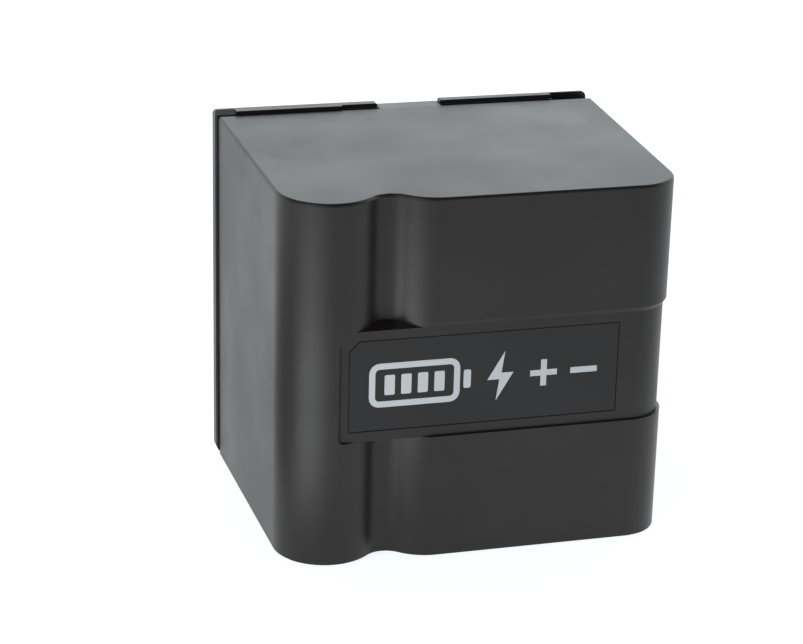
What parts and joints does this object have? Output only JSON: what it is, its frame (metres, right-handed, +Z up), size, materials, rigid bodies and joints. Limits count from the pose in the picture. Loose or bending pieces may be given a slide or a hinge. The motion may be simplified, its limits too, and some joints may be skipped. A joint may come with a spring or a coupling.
{
  "type": "rechargeable battery block",
  "caption": "Slide-in rechargeable battery block of a tripod laser scanner: black drafted housing with a cell-shaped bulge, stepped label band, ribbed rear cap, contacts and charge gauge.",
  "frame": {"origin": "middle of the footprint, on the surface that the block stands on", "axes": "+X to the right seen from the label side, +Y from the label side towards the rear cap, +Z up"},
  "size_m": [0.0838, 0.0632, 0.0775],
  "materials": {
    "housing_plastic": "fine satin texture, moulded",
    "cap_plastic": "fine satin texture, moulded",
    "seal_rubber": "matt",
    "screw_steel": "black-oxided, recesses bright from use",
    "label_film": "semi-gloss film with a white print",
    "rating_film": "satin silver film, blank",
    "carrier_plastic": "glass-filled, dull",
    "contact_gold": "gold-plated, brushed by use",
    "button_rubber": "dull, soft",
    "switch_plastic": "dull",
    "light_guide_clear": "frosted clear plastic",
    "led_package": "milky",
    "circuit_board": "green solder mask",
    "fish_paper": "grey-green pressed paper",
    "chip_resin": "moulded resin with tinned leads",
    "resistor_body": "lacquered",
    "fuse_ceramic": "glazed",
    "capacitor_ceramic": "ceramic",
    "ring_paper": "white paper",
    "tray_plastic": "moulded",
    "strip_nickel": "bright rolled nickel",
    "pack_foam": "closed-cell foam",
    "thermistor_resin": "dipped resin",
    "cell_sleeve": "shrunk sleeve over a steel can"
  },
  "bodies": {
    "block": {"board_capacitors": "capacitor_ceramic", "board_fuse": "fuse_ceramic", "board_insulator": "fish_paper", "bottom_link": "strip_nickel", "button_switch": "switch_plastic", "cap_screws": "screw_steel", "cap_seal": "seal_rubber", "cell_01": "cell_sleeve", "cell_02": "cell_sleeve", "cell_03": "cell_sleeve", "cell_04": "cell_sleeve", "cell_05": "cell_sleeve", "cell_06": "cell_sleeve", "cell_07": "cell_sleeve", "cell_08": "cell_sleeve", "cell_09": "cell_sleeve", "cell_10": "cell_sleeve", "cell_11": "cell_sleeve", "cell_12": "cell_sleeve", "cell_rings": "ring_paper", "charge_transistors": "chip_resin", "contact_carrier": "carrier_plastic", "data_contacts": "contact_gold", "front_label": "label_film", "gauge_chip": "chip_resin", "gauge_leds": "led_package", "housing": "housing_plastic", "light_guide": "light_guide_clear", "lower_cell_tray": "tray_plastic", "lower_foam": "pack_foam", "lower_insulator": "fish_paper", "management_board": "circuit_board", "negative_strip": "strip_nickel", "positive_strip": "strip_nickel", "power_contacts": "contact_gold", "rear_cap": "cap_plastic", "rear_label": "rating_film", "sense_resistor": "resistor_body", "thermistor": "thermistor_resin", "top_link_left": "strip_nickel", "top_link_right": "strip_nickel", "upper_cell_tray": "tray_plastic", "upper_foam": "pack_foam", "upper_insulator": "fish_paper"},
    "button": {"gauge_button": "button_rubber", "switch_plunger": "switch_plastic"}
  },
  "joints": [
    {"name": "gauge_button_press", "type": "slide", "parent": "block", "child": "button", "axis": [0, -1, 0], "range_m": [0, 0.0005], "stiffness_N_per_m": 2500, "springref_m": -0.0002}
  ]
}
